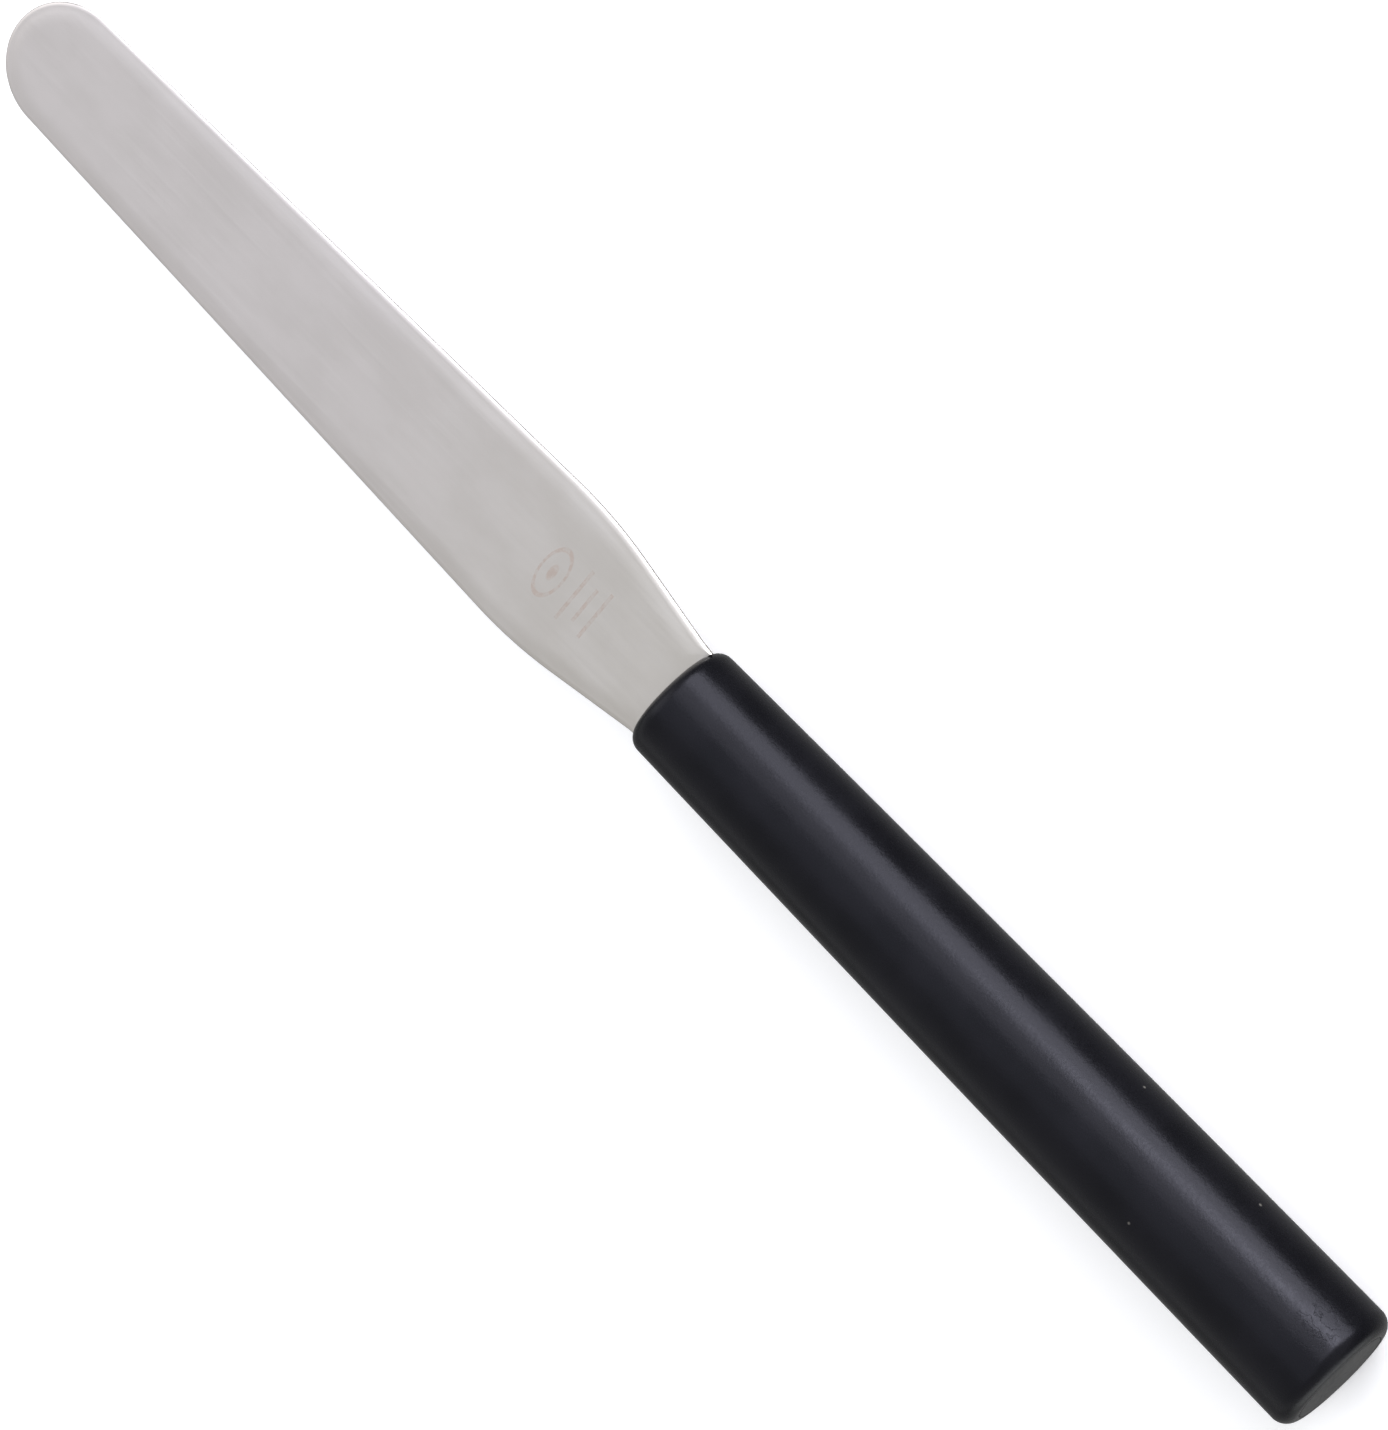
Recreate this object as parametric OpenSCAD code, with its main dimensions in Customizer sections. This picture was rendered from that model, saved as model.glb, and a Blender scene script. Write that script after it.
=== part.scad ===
// Small straight icing spatula: a flexible steel blade whose tang is clamped between two
// moulded core halves, a tapered round grip sleeve over the core, and a plug in the butt.
// The handle's axis lies along X: the nose is at X = 0, the blade's tip is towards +X.
// Z = 0 is the surface that the spatula lies on.

/* [Blade] */
// Length of the blade outside the handle
blade_len = 114; // [100:1:130]
// Width of the blade where its side and neck lines meet, before the shoulder is rounded
blade_w = 22.2; // [20:0.1:24]
// Thickness from the tang to the shoulder
blade_t = 1.2; // [1:0.1:1.6]
// Thickness at the tip
tip_t = 0.7; // [0.5:0.05:0.9]
// Radius of the round tip
tip_r = 8.4; // [7:0.1:9.5]
// Width of the neck's square end
neck_w = 15.1; // [12:0.1:15.1]
// Distance of the shoulder from the handle's nose
shoulder_x = 19; // [16:0.5:26]
// Radius that rounds the shoulder
shoulder_round = 55; // [30:1:60]
// Depth to which the neck's end is seated in the handle's nose
neck_seat = 0.6; // [0.3:0.1:1.5]

/* [Tang] */
// Length of the tang behind the handle's nose
tang_len = 62; // [55:1:80]
// Width of the tang behind the neck
tang_w = 9; // [8:0.1:9.5]
// Width of the tang at its round end
tang_end_w = 7; // [6:0.1:7.5]
// Diameter of the two retention holes
tang_hole_d = 3.2; // [2.8:0.1:3.6]

/* [Handle] */
// Length of the handle
handle_len = 114; // [105:1:125]
// Diameter at the nose, where the rounding of its edge begins
nose_d = 15.6; // [15.4:0.1:17]
// Diameter at the butt, where the rounding of its edge begins
butt_d = 18.1; // [17.8:0.1:20]
// Radius of the nose's edge
nose_round = 2; // [1:0.1:2.4]
// Radius of the butt's edge
butt_round = 2.2; // [1:0.1:2.2]

/* [Core and plug] */
// Diameter of the core and of the sleeve's bore
core_d = 10.6; // [10.2:0.1:10.6]
// Diameter of the core's tail, which the plug holds together
tail_d = 6; // [5:0.1:7]
// Length of the core's tail
tail_len = 6; // [4:0.5:7]
// Diameter of the moulded pegs that pass through the tang
peg_d = 3; // [2:0.1:3]
// Height of the pegs above the core's parting plane
peg_h = 3.5; // [2.5:0.1:4]
// Diameter of the plug's flush head
plug_d = 13.4; // [12.6:0.1:13.4]
// Thickness of the plug's head
plug_t = 3; // [2.4:0.1:4]
// Chamfer round the plug's head, which leaves a fine line where it meets the sleeve
plug_chamfer = 0.25; // [0.1:0.05:0.5]
// Length of the plug's spigot in the bore
spigot_len = 10; // [9:0.5:14]

/* [Hidden] */
$fn = 96;

// Radial clearance of a peg in its socket, and depth left under it
peg_clear = 0.05;
socket_spare = 0.5;
// Distances of the retention holes behind the nose
hole_x = [20, 45];
// Length of the core's full-diameter body
core_len = handle_len - plug_t - spigot_len;
// Snap ring on the spigot: how far it stands out, half its width, and its place
snap_h = 0.35;
snap_half = 0.8;
snap_x = core_len + spigot_len / 2;
// Overlap of a cutter past the face that it opens
over = 1;
// Straight steps along each rounded edge of the handle, and round each side of the tang's end
edge_steps = 8;
// Straight steps round the shoulder and from the blade's side to its tip
shoulder_steps = 8;
tip_steps = 32;
// Height of the handle's axis: its thick end lies on the surface
axis_z = butt_d / 2;

// Points on an arc about c, from angle a0 to angle a1
function arc(c, r, a0, a1, steps) =
    [for (i = [0:steps]) let (a = a0 + (a1 - a0) * i / steps) c + r * [cos(a), sin(a)]];

// The same points on the other side of the X axis, in the opposite order
function mirrored(points) =
    [for (i = [len(points) - 1:-1:0]) [points[i].x, -points[i].y]];

// Handle outline as [radius, height], with its nose at height 0
function handle_outline() =
    concat(
        [[0, -handle_len]],
        arc([butt_d / 2 - butt_round, butt_round - handle_len], butt_round, -90, 0, edge_steps),
        arc([nose_d / 2 - nose_round, -nose_round], nose_round, 0, 90, edge_steps),
        [[0, 0]]
    );

// One side of the blade in plan: square end of the neck, rounded shoulder, straight side and
// half of the tip
function blade_side() =
    let (
        corner = [shoulder_x, blade_w / 2],
        tip_c = [blade_len - tip_r, 0],
        to_tip = tip_c - corner,
        neck_a = atan2((blade_w - neck_w) / 2, shoulder_x),
        side_a = atan2(to_tip.y, to_tip.x) + asin(tip_r / norm(to_tip)),
        tangent = shoulder_round * tan((neck_a - side_a) / 2),
        start = corner - tangent * [cos(neck_a), sin(neck_a)],
        centre = start + shoulder_round * [sin(neck_a), -cos(neck_a)]
    )
    concat(
        [[-neck_seat, neck_w / 2], [0, neck_w / 2]],
        arc(centre, shoulder_round, 90 + neck_a, 90 + side_a, shoulder_steps),
        arc(tip_c, tip_r, 90 + side_a, 0, tip_steps)
    );

// One side of the tang in plan, from its round end to the neck
function tang_side() =
    concat(
        arc([tang_end_w / 2 - tang_len, 0], tang_end_w / 2, 180, 90, edge_steps),
        [[-neck_seat, tang_w / 2]]
    );

// Turns a shape that stands along Z, nose up, so that it lies along the handle's axis
module along_handle() {
    translate([0, 0, axis_z]) rotate([0, 90, 0]) children();
}

// Full plan of the blade and tang, mirrored about the axis
module blade_plan() {
    side = concat(tang_side(), blade_side());
    tip_to_tang = [for (i = [1:len(side) - 2]) mirrored(side)[i]];
    polygon(concat(side, tip_to_tang));
}

// Side view of the blade: even to the shoulder, then thinning to the tip
module blade_thickness() {
    back = -tang_len - over;
    front = blade_len + over;
    polygon([
        [back, -blade_t / 2], [shoulder_x, -blade_t / 2], [front, -tip_t / 2],
        [front, tip_t / 2], [shoulder_x, blade_t / 2], [back, blade_t / 2]
    ]);
}

// Blade and tang as one plate, without its holes
module blade_plate() {
    translate([0, 0, axis_z]) intersection() {
        translate([0, 0, -blade_t]) linear_extrude(2 * blade_t) blade_plan();
        rotate([90, 0, 0]) translate([0, 0, -blade_w])
            linear_extrude(2 * blade_w) blade_thickness();
    }
}

// Round bars at the retention holes, from one height to another about the axis
module at_holes(d, low, high) {
    for (x = hole_x)
        translate([-x, 0, axis_z + low]) cylinder(d = d, h = high - low);
}

module blade() {
    color([0.76, 0.75, 0.74]) difference() {
        blade_plate();
        at_holes(tang_hole_d, -blade_t, blade_t);
    }
}

// Round core with its tail, before it is split and cut for the blade
module core_round() {
    along_handle() {
        translate([0, 0, -core_len]) cylinder(d = core_d, h = core_len);
        translate([0, 0, -core_len - tail_len])
            cylinder(d = tail_d, h = tail_len + over);
    }
}

// Half-space block above (side = 1) or below (side = -1) the parting plane
module half_space(side) {
    size = [2 * handle_len, butt_d + over, butt_d];
    translate([-handle_len, 0, axis_z + side * butt_d / 2]) cube(size, center = true);
}

module core_lower() {
    color([0.42, 0.43, 0.45]) {
        difference() {
            intersection() {
                core_round();
                half_space(-1);
            }
            blade_plate();
        }
        at_holes(peg_d, -core_d / 4, peg_h);
    }
}

module core_upper() {
    color([0.36, 0.37, 0.39]) difference() {
        intersection() {
            core_round();
            half_space(1);
        }
        blade_plate();
        at_holes(peg_d + 2 * peg_clear, -over, peg_h + socket_spare);
    }
}

// Snap ring on the plug's spigot, and its groove in the sleeve
module snap_ring() {
    r = core_d / 2;
    rotate_extrude() polygon([
        [0, -snap_x - snap_half], [r, -snap_x - snap_half], [r + snap_h, -snap_x],
        [r, -snap_x + snap_half], [0, -snap_x + snap_half]
    ]);
}

module grip_sleeve() {
    color([0.12, 0.12, 0.13]) difference() {
        along_handle() difference() {
            rotate_extrude() polygon(handle_outline());
            translate([0, 0, -handle_len - over]) cylinder(d = core_d, h = handle_len + 2 * over);
            translate([0, 0, -handle_len - over]) cylinder(d = plug_d, h = plug_t + over);
            snap_ring();
        }
        // Shallow slot across the nose that seats the neck's end
        translate([-neck_seat, -nose_d, axis_z - blade_t / 2])
            cube([neck_seat + over, 2 * nose_d, blade_t]);
    }
}

module end_plug() {
    color([0.17, 0.17, 0.18]) along_handle() difference() {
        union() {
            translate([0, 0, -handle_len])
                cylinder(d1 = plug_d - 2 * plug_chamfer, d2 = plug_d, h = plug_chamfer);
            translate([0, 0, plug_chamfer - handle_len])
                cylinder(d = plug_d, h = plug_t - plug_chamfer);
            translate([0, 0, -handle_len]) cylinder(d = core_d, h = plug_t + spigot_len);
            snap_ring();
        }
        // Socket that holds the two halves of the core's tail together
        translate([0, 0, -core_len - tail_len - socket_spare])
            cylinder(d = tail_d, h = tail_len + socket_spare + over);
    }
}

blade();
core_lower();
core_upper();
grip_sleeve();
end_plug();
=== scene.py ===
"""Straight icing spatula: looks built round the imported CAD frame.

Everything is in metres in the CAD frame: +X along the handle to the blade's tip, +Z up.
"""
import math

import bmesh
import bpy
from mathutils import Matrix, Vector


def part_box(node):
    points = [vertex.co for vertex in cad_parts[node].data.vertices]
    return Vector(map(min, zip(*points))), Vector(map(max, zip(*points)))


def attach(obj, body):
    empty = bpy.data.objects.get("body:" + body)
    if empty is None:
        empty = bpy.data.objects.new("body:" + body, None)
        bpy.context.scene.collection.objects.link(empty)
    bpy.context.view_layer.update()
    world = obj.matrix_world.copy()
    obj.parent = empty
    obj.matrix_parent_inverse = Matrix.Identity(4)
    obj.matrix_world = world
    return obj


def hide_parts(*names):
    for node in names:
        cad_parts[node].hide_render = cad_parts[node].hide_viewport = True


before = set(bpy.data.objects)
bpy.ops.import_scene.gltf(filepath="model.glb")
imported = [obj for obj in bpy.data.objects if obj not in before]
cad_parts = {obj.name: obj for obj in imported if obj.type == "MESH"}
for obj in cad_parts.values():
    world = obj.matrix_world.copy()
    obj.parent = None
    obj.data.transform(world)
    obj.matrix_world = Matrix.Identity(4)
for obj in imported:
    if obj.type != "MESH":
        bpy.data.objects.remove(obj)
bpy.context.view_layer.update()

MM = 0.001
# Vertices closer than this are one, and edges that turn by more than this stay crisp
MERGE = 1e-7
SHARP = math.radians(35)

# Places and sizes that the frame gives
sleeve_low, sleeve_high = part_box("grip_sleeve")
blade_low, blade_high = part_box("blade")
BUTT_X, NOSE_X = sleeve_low.x, sleeve_high.x
AXIS_Z = (sleeve_low.z + sleeve_high.z) / 2
BUTT_R = (sleeve_high.z - sleeve_low.z) / 2
CORE_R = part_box("core_lower")[1].y
PLUG_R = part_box("end_plug")[1].y
TIP_X, TANG_X = blade_high.x, blade_low.x
BLADE_T = blade_high.z - blade_low.z

# Handle. Its sides swell by SWELL at mid-length, and LIP_ROUND breaks the bore's edges
NOSE_R = 7.8 * MM
NOSE_ROUND = 2.0 * MM
SWELL = 0.12 * MM
BUTT_ROUND = 2.2 * MM
LIP_ROUND = 0.08 * MM
TURN_STEPS = 192
ROUND_STEPS = 14
TAPER_RINGS = 40

# Plug
PLUG_T = 3 * MM
PLUG_EDGE = 0.25 * MM
PLUG_EDGE_STEPS = 4
# Ring that divides the plug's flat face, as a share of its radius
PLUG_RING = 0.5
SPIGOT_LEN = 10 * MM
SNAP_H = 0.35 * MM
SNAP_HALF = 0.8 * MM
TAIL_R = 3 * MM
SOCKET_DEPTH = 6.5 * MM

# Blade and tang
BLADE_HALF_W = 11.1 * MM
NECK_HALF_W = 7.55 * MM
NECK_SEAT = 0.6 * MM
SHOULDER_X = 19 * MM
SHOULDER_ROUND = 55 * MM
TIP_R = 8.4 * MM
TIP_T = 0.7 * MM
# Its edge: width of the rounding, and the share of its height that stands upright
EDGE_W = 1.2 * MM
EDGE_WALL = 0.1
EDGE_STEPS = 10
# Width beside the edge in which the faces roll off, and by how much
ROLL_W = 2.0 * MM
TANG_ROLL_W = 0.6 * MM
ROLL_DROP = 0.14 * MM
ROLL_STEPS = 4
SHOULDER_STEPS = 24
TIP_STEPS = 48
# Length in front of the nose over which the neck takes up the full roll-off
NECK_EASE = 1.2 * MM
SLOT_CLEAR = 0.02 * MM
TANG_HALF_W = 4.5 * MM
TANG_END_R = 3.5 * MM
TANG_STEPS = 8
TANG_HOLE_R = 1.6 * MM
TANG_HOLES = (20 * MM, 45 * MM)
HOLE_STEPS = 48

# Generic etched mark: place and half size of its ring, and (place, half width) of its bars
MARK_X = 20.5 * MM
MARK_HALF = (1.7 * MM, 3.6 * MM)
MARK_BARS = ((16.7 * MM, 4.0 * MM), (14.9 * MM, 2.6 * MM), (13.1 * MM, 3.6 * MM))
MARK_LINE = 0.24 * MM
# Half width of the ring's line and radius of the dot, as shares of the ring: full, and faded out
MARK_RING, MARK_DOT = (0.06, 0.14), (0.25, 0.40)
# Wear of the mark: features per metre, and how much of it is left where it is worn most
MARK_WEAR = (1100, 1100, 1100)
MARK_LEFT = 0.35

# Middle of the range of a noise texture, which holds most of its values
NOISE = (0.3, 0.7)

# Steel: features per metre of its clouding, grain and scratches, along each axis
STEEL_CLOUD = (90, 140, 300)
STEEL_GRAIN = (160, 9000, 9000)
STEEL_SCRATCH = (60, 5200, 5200)
# Its two greys far from the grip and near it, as (value, extra red, extra blue)
STEEL_CLEAN = (0.605, 0.055, -0.02), (0.635, 0.055, -0.015)
STEEL_WARM = (0.575, 0.05, -0.065), (0.61, 0.045, -0.055)
# Share of the blade's length over which the warm greys fade out
WARM_REACH = 0.6
STEEL_ROUGH = (0.38, 0.42)
ETCHED = (0.42, 0.33, 0.28, 1)
# How much the mark changes the colour, and how much rougher it is
ETCH_TINT, ETCH_ROUGH = 0.6, 0.12

# Black plastic: features per metre of its clouding, pebbles, faint streaks and wrinkles
PLASTIC_CLOUD = (120, 120, 120)
PEBBLE = (2400, 2400, 2400)
STREAK = (90, 900, 900)
WRINKLE = (520, 900, 900)
# Half the spread of roughness by the clouding and by the pebbles
ROUGH_SPREAD = 0.03
# Heights of the streaks and wrinkles beside the pebbles, and the roughness of the wrinkles
STREAK_HEIGHT, WRINKLE_HEIGHT, WRINKLE_ROUGH = 0.12, 0.6, 0.25
# Base colour and roughness of each moulding
GRIP_LOOK = (0.0035, 0.0035, 0.0045, 1), 0.28
PLUG_LOOK = (0.006, 0.006, 0.0065, 1), 0.33
CORE_LOOK = (0.02, 0.02, 0.021, 1), 0.5

# Wear on the grip: places of its pale specks, and of the scuffed patch
SPECKS = (
    (-73.8 * MM, -8.6 * MM, 9.5 * MM), (-93.4 * MM, -8.8 * MM, 9.6 * MM),
    (-84.4 * MM, 0.9 * MM, 17.7 * MM),
)
SPECK_R = 0.23 * MM
SPECK_COLOUR = (0.09, 0.086, 0.077, 1)
SCUFF = (-108.5 * MM, -6.2 * MM, 15.5 * MM)
SCUFF_R = 3.2 * MM

# Camera: turned towards the butt, tilted from overhead towards -Y, and rolled
VIEW_TURN = math.radians(9.84)
VIEW_TILT = math.radians(29.66)
VIEW_ROLL = math.radians(-134.245)
VIEW_DISTANCE = 2.0
VIEW_RIGHT, VIEW_UP = 2.456 * MM, -2.62 * MM
LENS = 424.4

# Brightness of the surround above the horizon: low down, high up, and overhead towards -Y
SKY_LOW, SKY_HIGH, OVERHEAD = 0.75, 0.58, 1.05
# Brightness below the horizon: on the camera's side, on the far side, straight down, and past
# the butt
NEAR_SIDE, FAR_SIDE, UNDERFOOT, PAST_BUTT = 0.1, 0.25, 0.35, 2.0
# Where those tones change, as (from, to) in the direction's X (along), Y (across) or Z (up)
SKY_UP = (0.0, 0.8)
OVERHEAD_ACROSS, OVERHEAD_UP = (0.1, 0.45), (0.75, 0.95)
SIDES_ACROSS = (-0.3, 0.3)
UNDERFOOT_UP = (-0.95, -0.55)
BUTT_ALONG, BUTT_ACROSS = (-0.85, -0.5), (-0.3, 0.1)
HORIZON_UP = (-0.05, 0.02)

# Floor: its radius, and the glow that lifts it to white round the spatula
FLOOR_R = 9.0
FLOOR_GLOW = 0.22

# Lights: name, place, aim, size, power in watts, colour
COOL, WHITE = (0.94, 0.94, 1), (1, 1, 1)
LIGHTS = (
    ("side_low", (0.275, -0.8, 0.22), (0.275, 0, 0.22), (1.15, 0.5), 10, COOL),
    ("side_high", (0.275, -0.66, 0.66), (0.275, 0, 0.01), (1.15, 0.62), 4.6, COOL),
    ("side_butt", (-0.07, -0.35, 0.20), (-0.11, 0, 0.01), (0.12, 0.12), 0.35, COOL),
    ("tip_end", (1.0, 0.1, 0.75), (0, 0, 0), (0.9, 0.9), 3, WHITE),
)


# ---------------------------------------------------------------- meshes

def arc(centre, radius, start, end, steps):
    """Points on an arc about centre, from angle start to end in degrees."""
    points = []
    for i in range(steps + 1):
        a = math.radians(start + (end - start) * i / steps)
        points.append((centre[0] + radius * math.cos(a), centre[1] + radius * math.sin(a)))
    return points


def shade(mesh):
    """Smooth shading with crisp edges where the surface turns sharply."""
    mesh.shade_smooth()
    mesh.set_sharp_from_angle(angle=SHARP)


def piece_from(bm, name):
    """Turns a bmesh into a shaded object in the scene."""
    bmesh.ops.remove_doubles(bm, verts=bm.verts, dist=MERGE)
    bmesh.ops.recalc_face_normals(bm, faces=bm.faces)
    if bm.calc_volume(signed=True) < 0:
        bmesh.ops.reverse_faces(bm, faces=bm.faces)
    mesh = bpy.data.meshes.new(name)
    bm.to_mesh(mesh)
    bm.free()
    shade(mesh)
    piece = bpy.data.objects.new(name, mesh)
    bpy.context.scene.collection.objects.link(piece)
    return piece


def weigh_normals(piece):
    """Lets the large faces set the shading, so that flats and tapers stay true beside roundings."""
    weighted = piece.modifiers.new("weighted_normals", "WEIGHTED_NORMAL")
    weighted.keep_sharp = True
    weighted.weight = 100


def lathe(outline, closed):
    """A bmesh of outline, a list of (x, radius), turned about the handle's axis.

    A closed outline is joined from its last point back to its first.
    """
    bm = bmesh.new()
    rings = []
    for x, r in outline:
        ring = []
        for k in range(TURN_STEPS):
            a = 2 * math.pi * k / TURN_STEPS
            ring.append(bm.verts.new((x, r * math.sin(a), AXIS_Z + r * math.cos(a))))
        rings.append(ring)
    if closed:
        rings.append(rings[0])
    for ring, after in zip(rings, rings[1:]):
        for k in range(TURN_STEPS):
            m = (k + 1) % TURN_STEPS
            bm.faces.new((ring[k], ring[m], after[m], after[k]))
    return bm


def cut(piece, low, high):
    """Cuts the box from low to high out of the piece."""
    bm = bmesh.new()
    bmesh.ops.create_cube(bm, size=1)
    size = Vector(high) - Vector(low)
    centre = (Vector(high) + Vector(low)) / 2
    for v in bm.verts:
        v.co = Vector(a * b for a, b in zip(v.co, size)) + centre
    cutter = piece_from(bm, "cutter")
    boolean = piece.modifiers.new("slot", "BOOLEAN")
    boolean.operation = "DIFFERENCE"
    boolean.solver = "EXACT"
    boolean.object = cutter
    bpy.context.view_layer.update()
    graph = bpy.context.evaluated_depsgraph_get()
    mesh = bpy.data.meshes.new_from_object(piece.evaluated_get(graph))
    piece.modifiers.clear()
    piece.data = mesh
    shade(mesh)
    bpy.data.objects.remove(cutter)


def make_sleeve():
    """Tapered grip: rounded nose and butt, bore, snap groove, plug seat and the neck's slot."""
    snap_x = BUTT_X + PLUG_T + SPIGOT_LEN / 2
    seat_x = BUTT_X + PLUG_T
    butt_arc = arc((BUTT_X + BUTT_ROUND, BUTT_R - BUTT_ROUND), BUTT_ROUND, 180, 90, ROUND_STEPS)
    nose_arc = arc((NOSE_X - NOSE_ROUND, NOSE_R - NOSE_ROUND), NOSE_ROUND, 90, 0, ROUND_STEPS)
    (x0, r0), (x1, r1) = butt_arc[-1], nose_arc[0]
    taper = []
    for i in range(1, TAPER_RINGS):
        share = i / TAPER_RINGS
        swell = SWELL * 4 * share * (1 - share)
        taper.append((x0 + (x1 - x0) * share, r0 + (r1 - r0) * share + swell))
    mouth = [(NOSE_X, CORE_R + LIP_ROUND), (NOSE_X - LIP_ROUND, CORE_R)]
    groove = [(snap_x + SNAP_HALF, CORE_R), (snap_x, CORE_R + SNAP_H),
              (snap_x - SNAP_HALF, CORE_R + SNAP_H), (snap_x - SNAP_HALF, CORE_R)]
    seat = [(seat_x, CORE_R), (seat_x, PLUG_R), (BUTT_X + LIP_ROUND, PLUG_R)]
    outline = butt_arc + taper + nose_arc + mouth + groove + seat
    sleeve = piece_from(lathe(outline, closed=True), "grip_sleeve_shell")
    half = BLADE_T / 2 + SLOT_CLEAR
    cut(sleeve, (NOSE_X - NECK_SEAT, -BUTT_R, AXIS_Z - half), (NOSE_X + MM, BUTT_R, AXIS_Z + half))
    weigh_normals(sleeve)
    return sleeve


def make_plug():
    """Flush butt plug with its spigot, snap ring and the socket for the core's tail."""
    snap_x = BUTT_X + PLUG_T + SPIGOT_LEN / 2
    seat_x = BUTT_X + PLUG_T
    end_x = seat_x + SPIGOT_LEN
    edge = arc((BUTT_X + PLUG_EDGE, PLUG_R - PLUG_EDGE), PLUG_EDGE, 180, 90,
               PLUG_EDGE_STEPS)
    outline = (
        [(BUTT_X, 0), (BUTT_X, PLUG_R * PLUG_RING)] + edge
        + [(seat_x, PLUG_R), (seat_x, CORE_R), (snap_x - SNAP_HALF, CORE_R),
           (snap_x - SNAP_HALF, CORE_R + SNAP_H), (snap_x, CORE_R + SNAP_H),
           (snap_x + SNAP_HALF, CORE_R), (end_x, CORE_R), (end_x, TAIL_R),
           (end_x - SOCKET_DEPTH, TAIL_R), (end_x - SOCKET_DEPTH, 0)]
    )
    plug = piece_from(lathe(outline, closed=False), "butt_plug")
    weigh_normals(plug)
    return plug


def blade_outline():
    """One side of the blade and tang, from the tang's end to the tip.

    Each point is (x, y, normal x, normal y, width of the face's roll-off there).
    """
    tip_c = (TIP_X - TIP_R, 0)
    to_tip = (tip_c[0] - SHOULDER_X, -BLADE_HALF_W)
    neck_a = math.atan2(BLADE_HALF_W - NECK_HALF_W, SHOULDER_X)
    side_a = math.atan2(to_tip[1], to_tip[0]) + math.asin(TIP_R / math.hypot(*to_tip))
    tangent = SHOULDER_ROUND * math.tan((neck_a - side_a) / 2)
    start_x = SHOULDER_X - tangent * math.cos(neck_a)
    start_y = BLADE_HALF_W - tangent * math.sin(neck_a)
    shoulder_c = (start_x + SHOULDER_ROUND * math.sin(neck_a),
                  start_y - SHOULDER_ROUND * math.cos(neck_a))
    neck_end, side_end = 90 + math.degrees(neck_a), 90 + math.degrees(side_a)
    ease_y = NECK_HALF_W + NECK_EASE * math.tan(neck_a)
    seat_x = NOSE_X - NECK_SEAT

    def turned(centre, radius, start, end, steps, roll):
        normals = arc((0, 0), 1, start, end, steps)
        points = arc(centre, radius, start, end, steps)
        return [(*p, *n, roll) for p, n in zip(points, normals)]

    return (
        turned((TANG_X + TANG_END_R, 0), TANG_END_R, 180, 90, TANG_STEPS, TANG_ROLL_W)
        + [(seat_x, TANG_HALF_W, -1, 1, TANG_ROLL_W),
           (seat_x, NECK_HALF_W, -1, 1, TANG_ROLL_W),
           (NOSE_X + NECK_EASE, ease_y, -math.sin(neck_a), math.cos(neck_a), ROLL_W)]
        + turned(shoulder_c, SHOULDER_ROUND, neck_end, side_end, SHOULDER_STEPS, ROLL_W)
        + turned(tip_c, TIP_R, side_end, 0, TIP_STEPS, ROLL_W)
    )


def half_thickness(x):
    """Half the blade's thickness: even to the shoulder, then thinning to the tip."""
    share = max(0.0, (x - SHOULDER_X) / (TIP_X + MM - SHOULDER_X))
    return (BLADE_T + (TIP_T - BLADE_T) * share) / 2


def rib(bm, x, y, nx, ny, roll_w):
    """Vertices of one section of the blade's edge, from the top flat round to the bottom flat.

    The face rolls off gently, and then runs round the edge along half an ellipse whose middle,
    a share EDGE_WALL of its height, stands upright.
    """
    edge_w = min(EDGE_W, roll_w / 2) * half_thickness(x) / (BLADE_T / 2)
    upper = []
    for i in range(ROLL_STEPS):
        share = i / ROLL_STEPS
        upper.append((-edge_w - roll_w * (1 - share), ROLL_DROP * share ** 2, 1))
    for i in range(EDGE_STEPS + 1):
        a = math.pi / 2 * i / EDGE_STEPS
        height = EDGE_WALL + (1 - EDGE_WALL) * math.cos(a)
        upper.append((-edge_w * (1 - math.sin(a)), ROLL_DROP, height))
    rows = [(*row, 1) for row in upper] + [(*row, -1) for row in upper[::-1]]
    verts = []
    for out, drop, height, side in rows:
        px, py = x + nx * out, y + ny * out
        verts.append(bm.verts.new((px, py, AXIS_Z + side * height * (half_thickness(px) - drop))))
    return verts


def hole_ring(bm, x, side):
    """Vertices of a tang hole's edge on the top (side = 1) or bottom (side = -1) face."""
    points = arc((NOSE_X - x, 0), TANG_HOLE_R, 0, 360 * (1 - 1 / HOLE_STEPS), HOLE_STEPS - 1)
    return [bm.verts.new((px, py, AXIS_Z + side * BLADE_T / 2)) for px, py in points]


def close_ring(bm, ring):
    """Edges that join the vertices of a ring in turn."""
    edges = []
    for a, b in zip(ring, ring[1:] + ring[:1]):
        edges.append(bm.edges.get((a, b)) or bm.edges.new((a, b)))
    return edges


def join_ribs(bm, ribs):
    """Faces of the blade's edge, all the way round."""
    for a, b in zip(ribs, ribs[1:] + ribs[:1]):
        for i in range(len(a) - 1):
            bm.faces.new((a[i], b[i], b[i + 1], a[i + 1]))


def fill_flats(bm, side, ribs, rings):
    """Top and bottom: strips across from shoulder to tip, and a face round the tang's holes."""
    last = len(side) - 1
    shoulder = min(range(last), key=lambda i: abs(side[i][0] - SHOULDER_X))
    for face, row in enumerate((0, -1)):
        for i in range(shoulder, last):
            corners = [ribs[i][row], ribs[i + 1][row], ribs[-i - 1][row], ribs[-i][row]]
            bm.faces.new(corners[:2] + corners[3:] if i + 1 == last else corners)
        tang = [r[row] for r in ribs[-shoulder:] + ribs[:shoulder + 1]]
        edges = close_ring(bm, tang)
        for pair in rings:
            edges += close_ring(bm, pair[face])
        bmesh.ops.triangle_fill(bm, use_beauty=True, use_dissolve=False, edges=edges)


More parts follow.
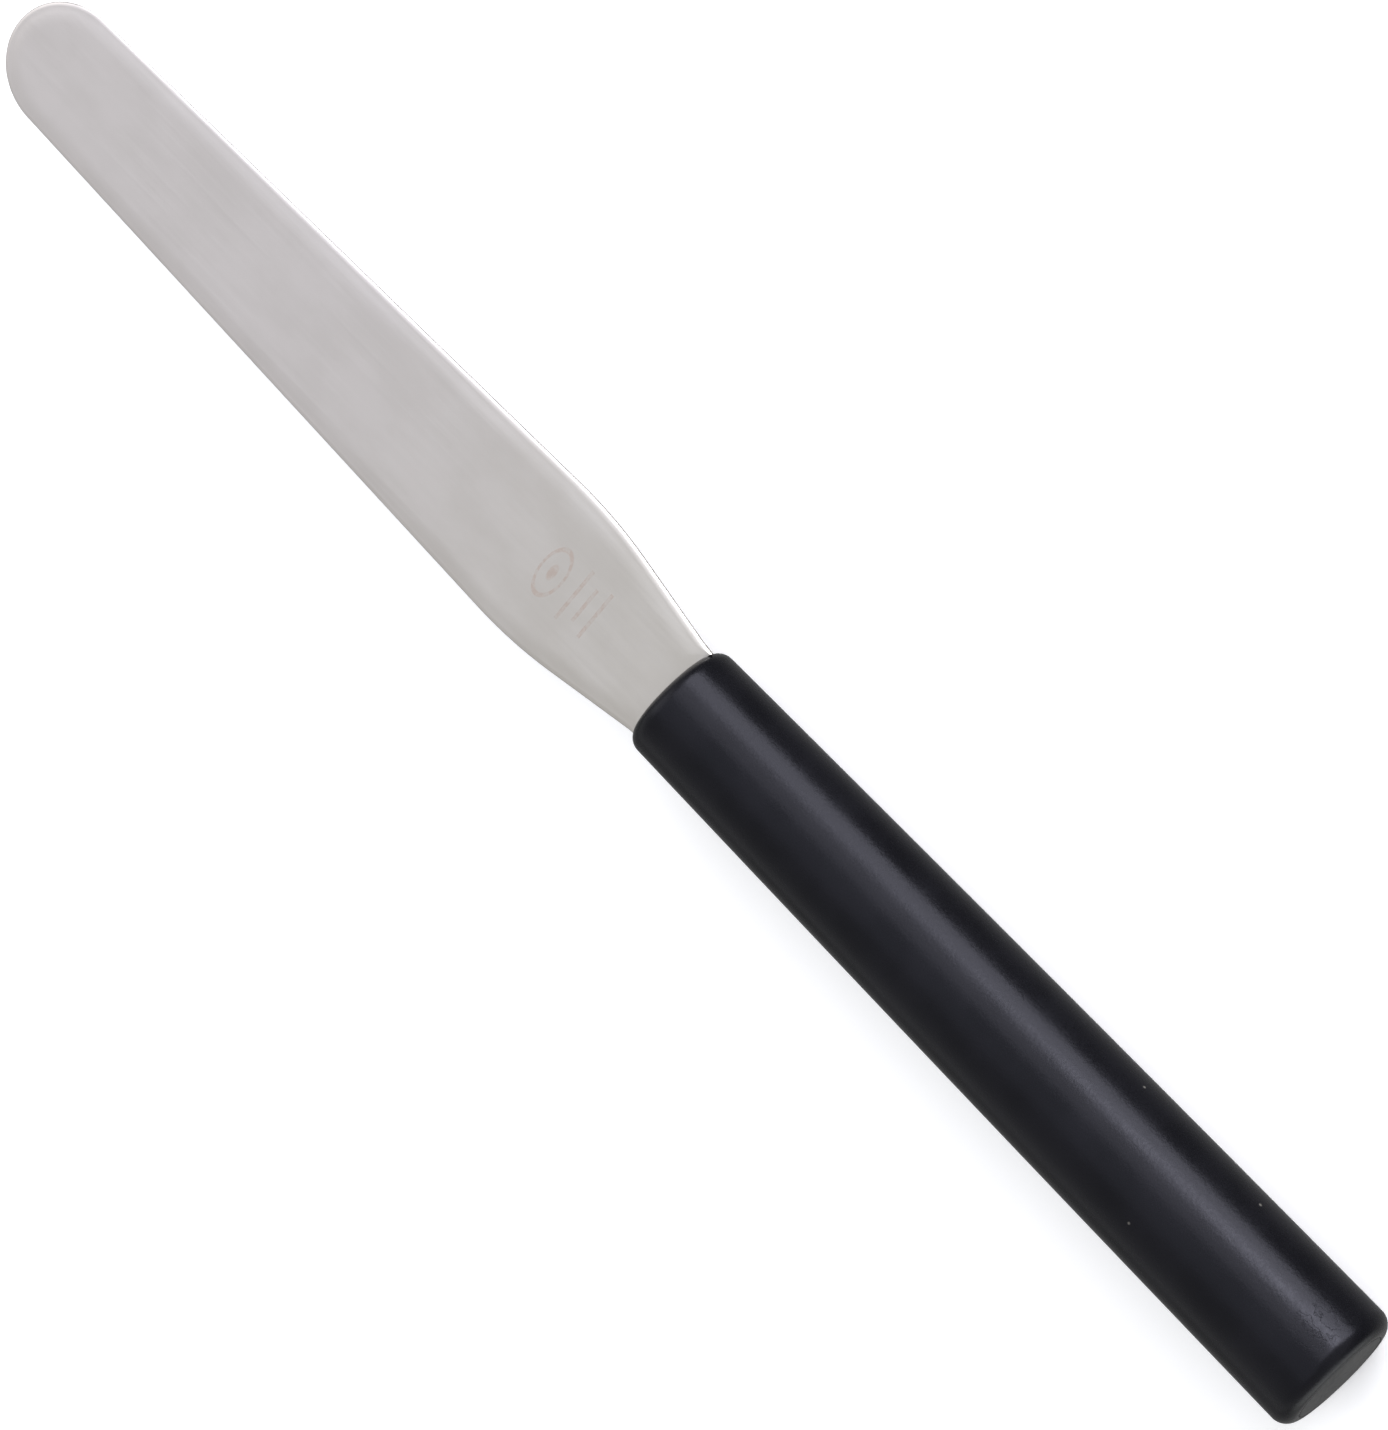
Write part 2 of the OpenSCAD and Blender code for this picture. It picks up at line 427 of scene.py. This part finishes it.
def line_holes(bm, rings):
    """Walls of the tang's holes."""
    for top, bottom in rings:
        for k in range(HOLE_STEPS):
            m = (k + 1) % HOLE_STEPS
            bm.faces.new((top[k], top[m], bottom[m], bottom[k]))


def add_grain(blade):
    """UV layer whose second axis runs along the blade: the direction of the steel's grain."""
    grain = blade.data.uv_layers.new(name="grain")
    for corner in blade.data.loops:
        point = blade.data.vertices[corner.vertex_index].co
        grain.data[corner.index].uv = (point.y / TIP_X + 0.5, point.x / TIP_X)


def make_blade():
    """Blade and tang as one closed plate with rounded edges and the tang's two holes."""
    side = blade_outline()
    loop = side + [(x, -y, nx, -ny, roll) for x, y, nx, ny, roll in side[-2:0:-1]]
    bm = bmesh.new()
    ribs = [rib(bm, *p) for p in loop]
    join_ribs(bm, ribs)
    rings = [[hole_ring(bm, x, face) for face in (1, -1)] for x in TANG_HOLES]
    fill_flats(bm, side, ribs, rings)
    line_holes(bm, rings)
    blade = piece_from(bm, "blade_leaf")
    weigh_normals(blade)
    add_grain(blade)
    return blade


# ---------------------------------------------------------------- materials

def add(tree, kind, inputs=None, **settings):
    """Adds a node, sets its properties, and sets or links its inputs by name or number."""
    made = tree.nodes.new(kind)
    for key, value in settings.items():
        setattr(made, key, value)
    for key, value in (inputs or {}).items():
        if isinstance(value, bpy.types.NodeSocket):
            tree.links.new(value, made.inputs[key])
        else:
            made.inputs[key].default_value = value
    return made


def sums(tree, operation, a, b=0.0):
    """Output of a Math node."""
    return add(tree, "ShaderNodeMath", {0: a, 1: b}, operation=operation).outputs[0]


def new_material(name, **sockets):
    """A Principled material, with its constant sockets set by name."""
    material = bpy.data.materials.new(name)
    material.use_nodes = True
    tree = material.node_tree
    shader = tree.nodes["Principled BSDF"]
    for key, value in sockets.items():
        shader.inputs[key.replace("_", " ")].default_value = value
    return material, tree, shader


def object_point(tree, stretch=(1, 1, 1)):
    """Position in the CAD frame, in metres, times stretch."""
    place = add(tree, "ShaderNodeTexCoord").outputs["Object"]
    scaled = add(tree, "ShaderNodeVectorMath", {0: place, 1: stretch}, operation="MULTIPLY")
    return scaled.outputs[0]


def noise(tree, stretch, detail=3.0, roughness=0.55):
    """Noise between 0 and 1 whose features are 1 / stretch metres long on each axis."""
    made = add(tree, "ShaderNodeTexNoise", {"Vector": object_point(tree, stretch), "Scale": 1.0,
                                            "Detail": detail, "Roughness": roughness})
    return made.outputs["Fac"]


def between(tree, value, low, high, to_low=0.0, to_high=1.0):
    """Maps value from low..high to to_low..to_high, clamped and eased."""
    return add(tree, "ShaderNodeMapRange", {"Value": value, "From Min": low, "From Max": high,
                                            "To Min": to_low, "To Max": to_high},
               interpolation_type="SMOOTHSTEP").outputs["Result"]


def mixed(tree, share, a, b):
    """Colour a where share is 0 and b where it is 1."""
    made = add(tree, "ShaderNodeMix", data_type="RGBA")
    named = {i.identifier: i for i in made.inputs}
    for key, value in (("Factor_Float", share), ("A_Color", a), ("B_Color", b)):
        if isinstance(value, bpy.types.NodeSocket):
            tree.links.new(value, named[key])
        else:
            named[key].default_value = value
    return next(o for o in made.outputs if o.identifier == "Result_Color")


def grey(value, red=0.0, blue=0.0):
    """A grey with a little more red or blue."""
    return (value * (1 + red), value, value * (1 + blue), 1)


def mark_mask(tree):
    """A plain generic etched mark: an oval ring round a dot, over three bars. 1 on the mark."""
    place = add(tree, "ShaderNodeSeparateXYZ", {0: object_point(tree)})
    x, y, z = place.outputs
    parts = []
    across = sums(tree, "DIVIDE", y, MARK_HALF[1])
    along = sums(tree, "DIVIDE", sums(tree, "SUBTRACT", x, MARK_X), MARK_HALF[0])
    radius = sums(tree, "SQRT", sums(tree, "ADD", sums(tree, "MULTIPLY", across, across),
                                     sums(tree, "MULTIPLY", along, along)))
    ring = sums(tree, "ABSOLUTE", sums(tree, "SUBTRACT", radius, 1.0))
    parts.append(between(tree, ring, *MARK_RING, 1.0, 0.0))
    parts.append(between(tree, radius, *MARK_DOT, 1.0, 0.0))
    for bar_x, half_w in MARK_BARS:
        thick = sums(tree, "ABSOLUTE", sums(tree, "SUBTRACT", x, bar_x))
        wide = sums(tree, "ABSOLUTE", y)
        parts.append(sums(tree, "MULTIPLY",
                          between(tree, thick, MARK_LINE * 0.7, MARK_LINE * 1.3, 1.0, 0.0),
                          between(tree, wide, half_w, half_w + MARK_LINE, 1.0, 0.0)))
    mask = parts[0]
    for part in parts[1:]:
        mask = sums(tree, "MAXIMUM", mask, part)
    upper = sums(tree, "GREATER_THAN", z, AXIS_Z)
    worn = between(tree, noise(tree, MARK_WEAR, 4.0), 0.35, 0.60, MARK_LEFT, 1.0)
    return sums(tree, "MULTIPLY", sums(tree, "MULTIPLY", mask, upper), worn)


def steel():
    """Satin steel: fine grain along the blade, faint clouding, and the etched mark."""
    material, tree, shader = new_material("satin_steel", Metallic=1.0, Anisotropic=0.55)
    cloud = noise(tree, STEEL_CLOUD, 4.0)
    grain = noise(tree, STEEL_GRAIN, 3.0)
    scratch = noise(tree, STEEL_SCRATCH, 2.0)
    x = add(tree, "ShaderNodeSeparateXYZ", {0: object_point(tree)}).outputs["X"]
    near_grip = between(tree, x, NOSE_X, TIP_X * WARM_REACH, 1.0, 0.0)
    clouded = between(tree, cloud, 0.35, 0.65)
    clean = mixed(tree, clouded, grey(*STEEL_CLEAN[0]), grey(*STEEL_CLEAN[1]))
    warm = mixed(tree, clouded, grey(*STEEL_WARM[0]), grey(*STEEL_WARM[1]))
    metal = mixed(tree, near_grip, clean, warm)
    mark = mark_mask(tree)
    etched = mixed(tree, sums(tree, "MULTIPLY", mark, ETCH_TINT), metal, ETCHED)
    tree.links.new(etched, shader.inputs["Base Color"])
    rough = between(tree, scratch, *NOISE, *STEEL_ROUGH)
    rough = sums(tree, "ADD", rough, sums(tree, "MULTIPLY", mark, ETCH_ROUGH))
    tree.links.new(rough, shader.inputs["Roughness"])
    height = sums(tree, "ADD", grain, sums(tree, "MULTIPLY", scratch, 0.6))
    bump = add(tree, "ShaderNodeBump", {"Height": height, "Strength": 0.25, "Distance": 0.004 * MM})
    tree.links.new(bump.outputs["Normal"], shader.inputs["Normal"])
    tangent = add(tree, "ShaderNodeTangent", direction_type="UV_MAP", uv_map="grain")
    tree.links.new(tangent.outputs["Tangent"], shader.inputs["Tangent"])
    return material


def near_point(tree, point, radius):
    """1 within half the radius of the point, easing to 0 at 1.3 times the radius."""
    place = add(tree, "ShaderNodeTexCoord").outputs["Object"]
    apart = add(tree, "ShaderNodeVectorMath", {0: place, 1: point}, operation="DISTANCE")
    return between(tree, apart.outputs["Value"], radius * 0.5, radius * 1.3, 1.0, 0.0)


def wear(tree):
    """Pale specks, and the fine wrinkles of the scuffed patch near the butt. 1 on them."""
    specks = near_point(tree, SPECKS[0], SPECK_R)
    for point in SPECKS[1:]:
        specks = sums(tree, "MAXIMUM", specks, near_point(tree, point, SPECK_R))
    wave = sums(tree, "ABSOLUTE", sums(tree, "SUBTRACT", noise(tree, WRINKLE, 3.0), 0.5))
    line = between(tree, wave, 0.003, 0.012, 1.0, 0.0)
    wrinkles = sums(tree, "MULTIPLY", line, near_point(tree, SCUFF, SCUFF_R))
    return specks, wrinkles


def black_plastic(name, base, rough):
    """Satin dark moulding: pebbled micro texture, uneven gloss, specks and wrinkles."""
    material, tree, shader = new_material(
        name, Specular_IOR_Level=0.17, Specular_Tint=(0.87, 0.87, 1, 1))
    cloud = noise(tree, PLASTIC_CLOUD, 4.0)
    pebble = noise(tree, PEBBLE, 3.0)
    streaks = noise(tree, STREAK, 3.0)
    specks, wrinkles = wear(tree)
    lighter = tuple(1.5 * c for c in base[:3]) + (1,)
    colour = mixed(tree, between(tree, cloud, *NOISE), base, lighter)
    colour = mixed(tree, specks, colour, SPECK_COLOUR)
    tree.links.new(colour, shader.inputs["Base Color"])
    gloss = between(tree, cloud, *NOISE, rough - ROUGH_SPREAD, rough + ROUGH_SPREAD)
    uneven = between(tree, pebble, *NOISE, -ROUGH_SPREAD, ROUGH_SPREAD)
    gloss = sums(tree, "ADD", gloss, uneven)
    gloss = sums(tree, "ADD", gloss, sums(tree, "MULTIPLY", wrinkles, WRINKLE_ROUGH))
    tree.links.new(gloss, shader.inputs["Roughness"])
    height = sums(tree, "ADD", pebble, sums(tree, "MULTIPLY", streaks, STREAK_HEIGHT))
    height = sums(tree, "SUBTRACT", height, sums(tree, "MULTIPLY", wrinkles, WRINKLE_HEIGHT))
    bump = add(tree, "ShaderNodeBump", {"Height": height, "Strength": 0.5, "Distance": 0.04 * MM})
    tree.links.new(bump.outputs["Normal"], shader.inputs["Normal"])
    return material


def pale_floor():
    """Plain pale studio floor."""
    material, tree, shader = new_material(
        "pale_floor", Roughness=0.9, Specular_IOR_Level=0.1, Emission_Strength=FLOOR_GLOW)
    cloud = between(tree, noise(tree, (3, 3, 3), 2.0), *NOISE)
    tone = mixed(tree, cloud, grey(0.94), grey(0.96))
    tree.links.new(tone, shader.inputs["Base Color"])
    return material


# ---------------------------------------------------------------- staging

def softbox(name, place, aim, size, power, colour):
    """A rectangular area light at place, facing aim, size = (width, height)."""
    light = bpy.data.lights.new(name, "AREA")
    light.shape = "RECTANGLE"
    light.size, light.size_y = size
    light.energy = power
    light.color = colour
    lamp = bpy.data.objects.new(name, light)
    bpy.context.scene.collection.objects.link(lamp)
    lamp.location = place
    lamp.rotation_euler = (Vector(aim) - Vector(place)).to_track_quat("-Z", "Y").to_euler()
    lamp.visible_camera = False


def make_floor():
    """A wide disc at the height that the spatula lies on."""
    bm = bmesh.new()
    bmesh.ops.create_circle(bm, cap_ends=True, segments=96, radius=FLOOR_R)
    floor = piece_from(bm, "floor")
    floor.data.materials.append(pale_floor())
    floor.visible_glossy = False


def make_world():
    """Pale surround, brighter overhead towards -Y.

    Below the horizon it is dark on the camera's side, lighter on the far side and straight down,
    and bright past the butt.
    """
    world = bpy.data.worlds.new("studio")
    world.use_nodes = True
    tree = world.node_tree
    direction = add(tree, "ShaderNodeTexCoord").outputs["Generated"]
    along, across, up = add(tree, "ShaderNodeSeparateXYZ", {0: direction}).outputs
    sky = mixed(tree, between(tree, up, *SKY_UP), grey(SKY_LOW), grey(SKY_HIGH))
    overhead = sums(tree, "MULTIPLY", between(tree, across, *OVERHEAD_ACROSS, 1.0, 0.0),
                    between(tree, up, *OVERHEAD_UP))
    above = mixed(tree, overhead, sky, grey(OVERHEAD, -0.03, 0.07))
    beside = mixed(tree, between(tree, across, *SIDES_ACROSS), grey(NEAR_SIDE), grey(FAR_SIDE))
    under = mixed(tree, between(tree, up, *UNDERFOOT_UP), grey(UNDERFOOT), beside)
    past_butt = sums(tree, "MULTIPLY", between(tree, along, *BUTT_ALONG, 1.0, 0.0),
                     between(tree, across, *BUTT_ACROSS))
    below = mixed(tree, past_butt, under, grey(PAST_BUTT, -0.03, -0.03))
    surround = mixed(tree, between(tree, up, *HORIZON_UP), below, above)
    tree.links.new(surround, tree.nodes["Background"].inputs["Color"])
    bpy.context.scene.world = world


def make_camera():
    """The photograph's view: turn, tilt and roll about the handle's nose."""
    back = Vector((-math.sin(VIEW_TURN), -math.cos(VIEW_TURN) * math.sin(VIEW_TILT),
                   math.cos(VIEW_TURN) * math.cos(VIEW_TILT)))
    along = (Vector((1, 0, 0)) - back * back.x).normalized()
    across = back.cross(along)
    c, s = math.cos(VIEW_ROLL), math.sin(VIEW_ROLL)
    right, up = along * c + across * s, across * c - along * s
    place = Vector((NOSE_X, 0, AXIS_Z)) + back * VIEW_DISTANCE + right * VIEW_RIGHT + up * VIEW_UP
    data = bpy.data.cameras.new("camera")
    data.lens, data.sensor_width = LENS, 36
    data.clip_start, data.clip_end = 0.05, 100
    camera = bpy.data.objects.new("camera", data)
    bpy.context.scene.collection.objects.link(camera)
    turned = Matrix((right, up, back)).transposed().to_4x4()
    camera.matrix_world = Matrix.Translation(place) @ turned
    bpy.context.scene.camera = camera


bpy.context.scene.view_settings.view_transform = "Standard"
make_camera()
make_floor()
make_world()
for light in LIGHTS:
    softbox(*light)

grip_black = black_plastic("grip_black", *GRIP_LOOK)
plug_black = black_plastic("plug_black", *PLUG_LOOK)
core_grey = black_plastic("core_grey", *CORE_LOOK)

sleeve = make_sleeve()
plug = make_plug()
blade = make_blade()
for piece, node, slot, finish in (
    (sleeve, "grip_sleeve", "grip_plastic", grip_black),
    (plug, "end_plug", "plug_plastic", plug_black),
    (blade, "blade", "blade_steel", steel()),
):
    piece.data.materials.append(finish)
    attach(piece, "root")
    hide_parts(node)
for node in ("core_lower", "core_upper"):
    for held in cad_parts[node].material_slots:
        held.material = core_grey
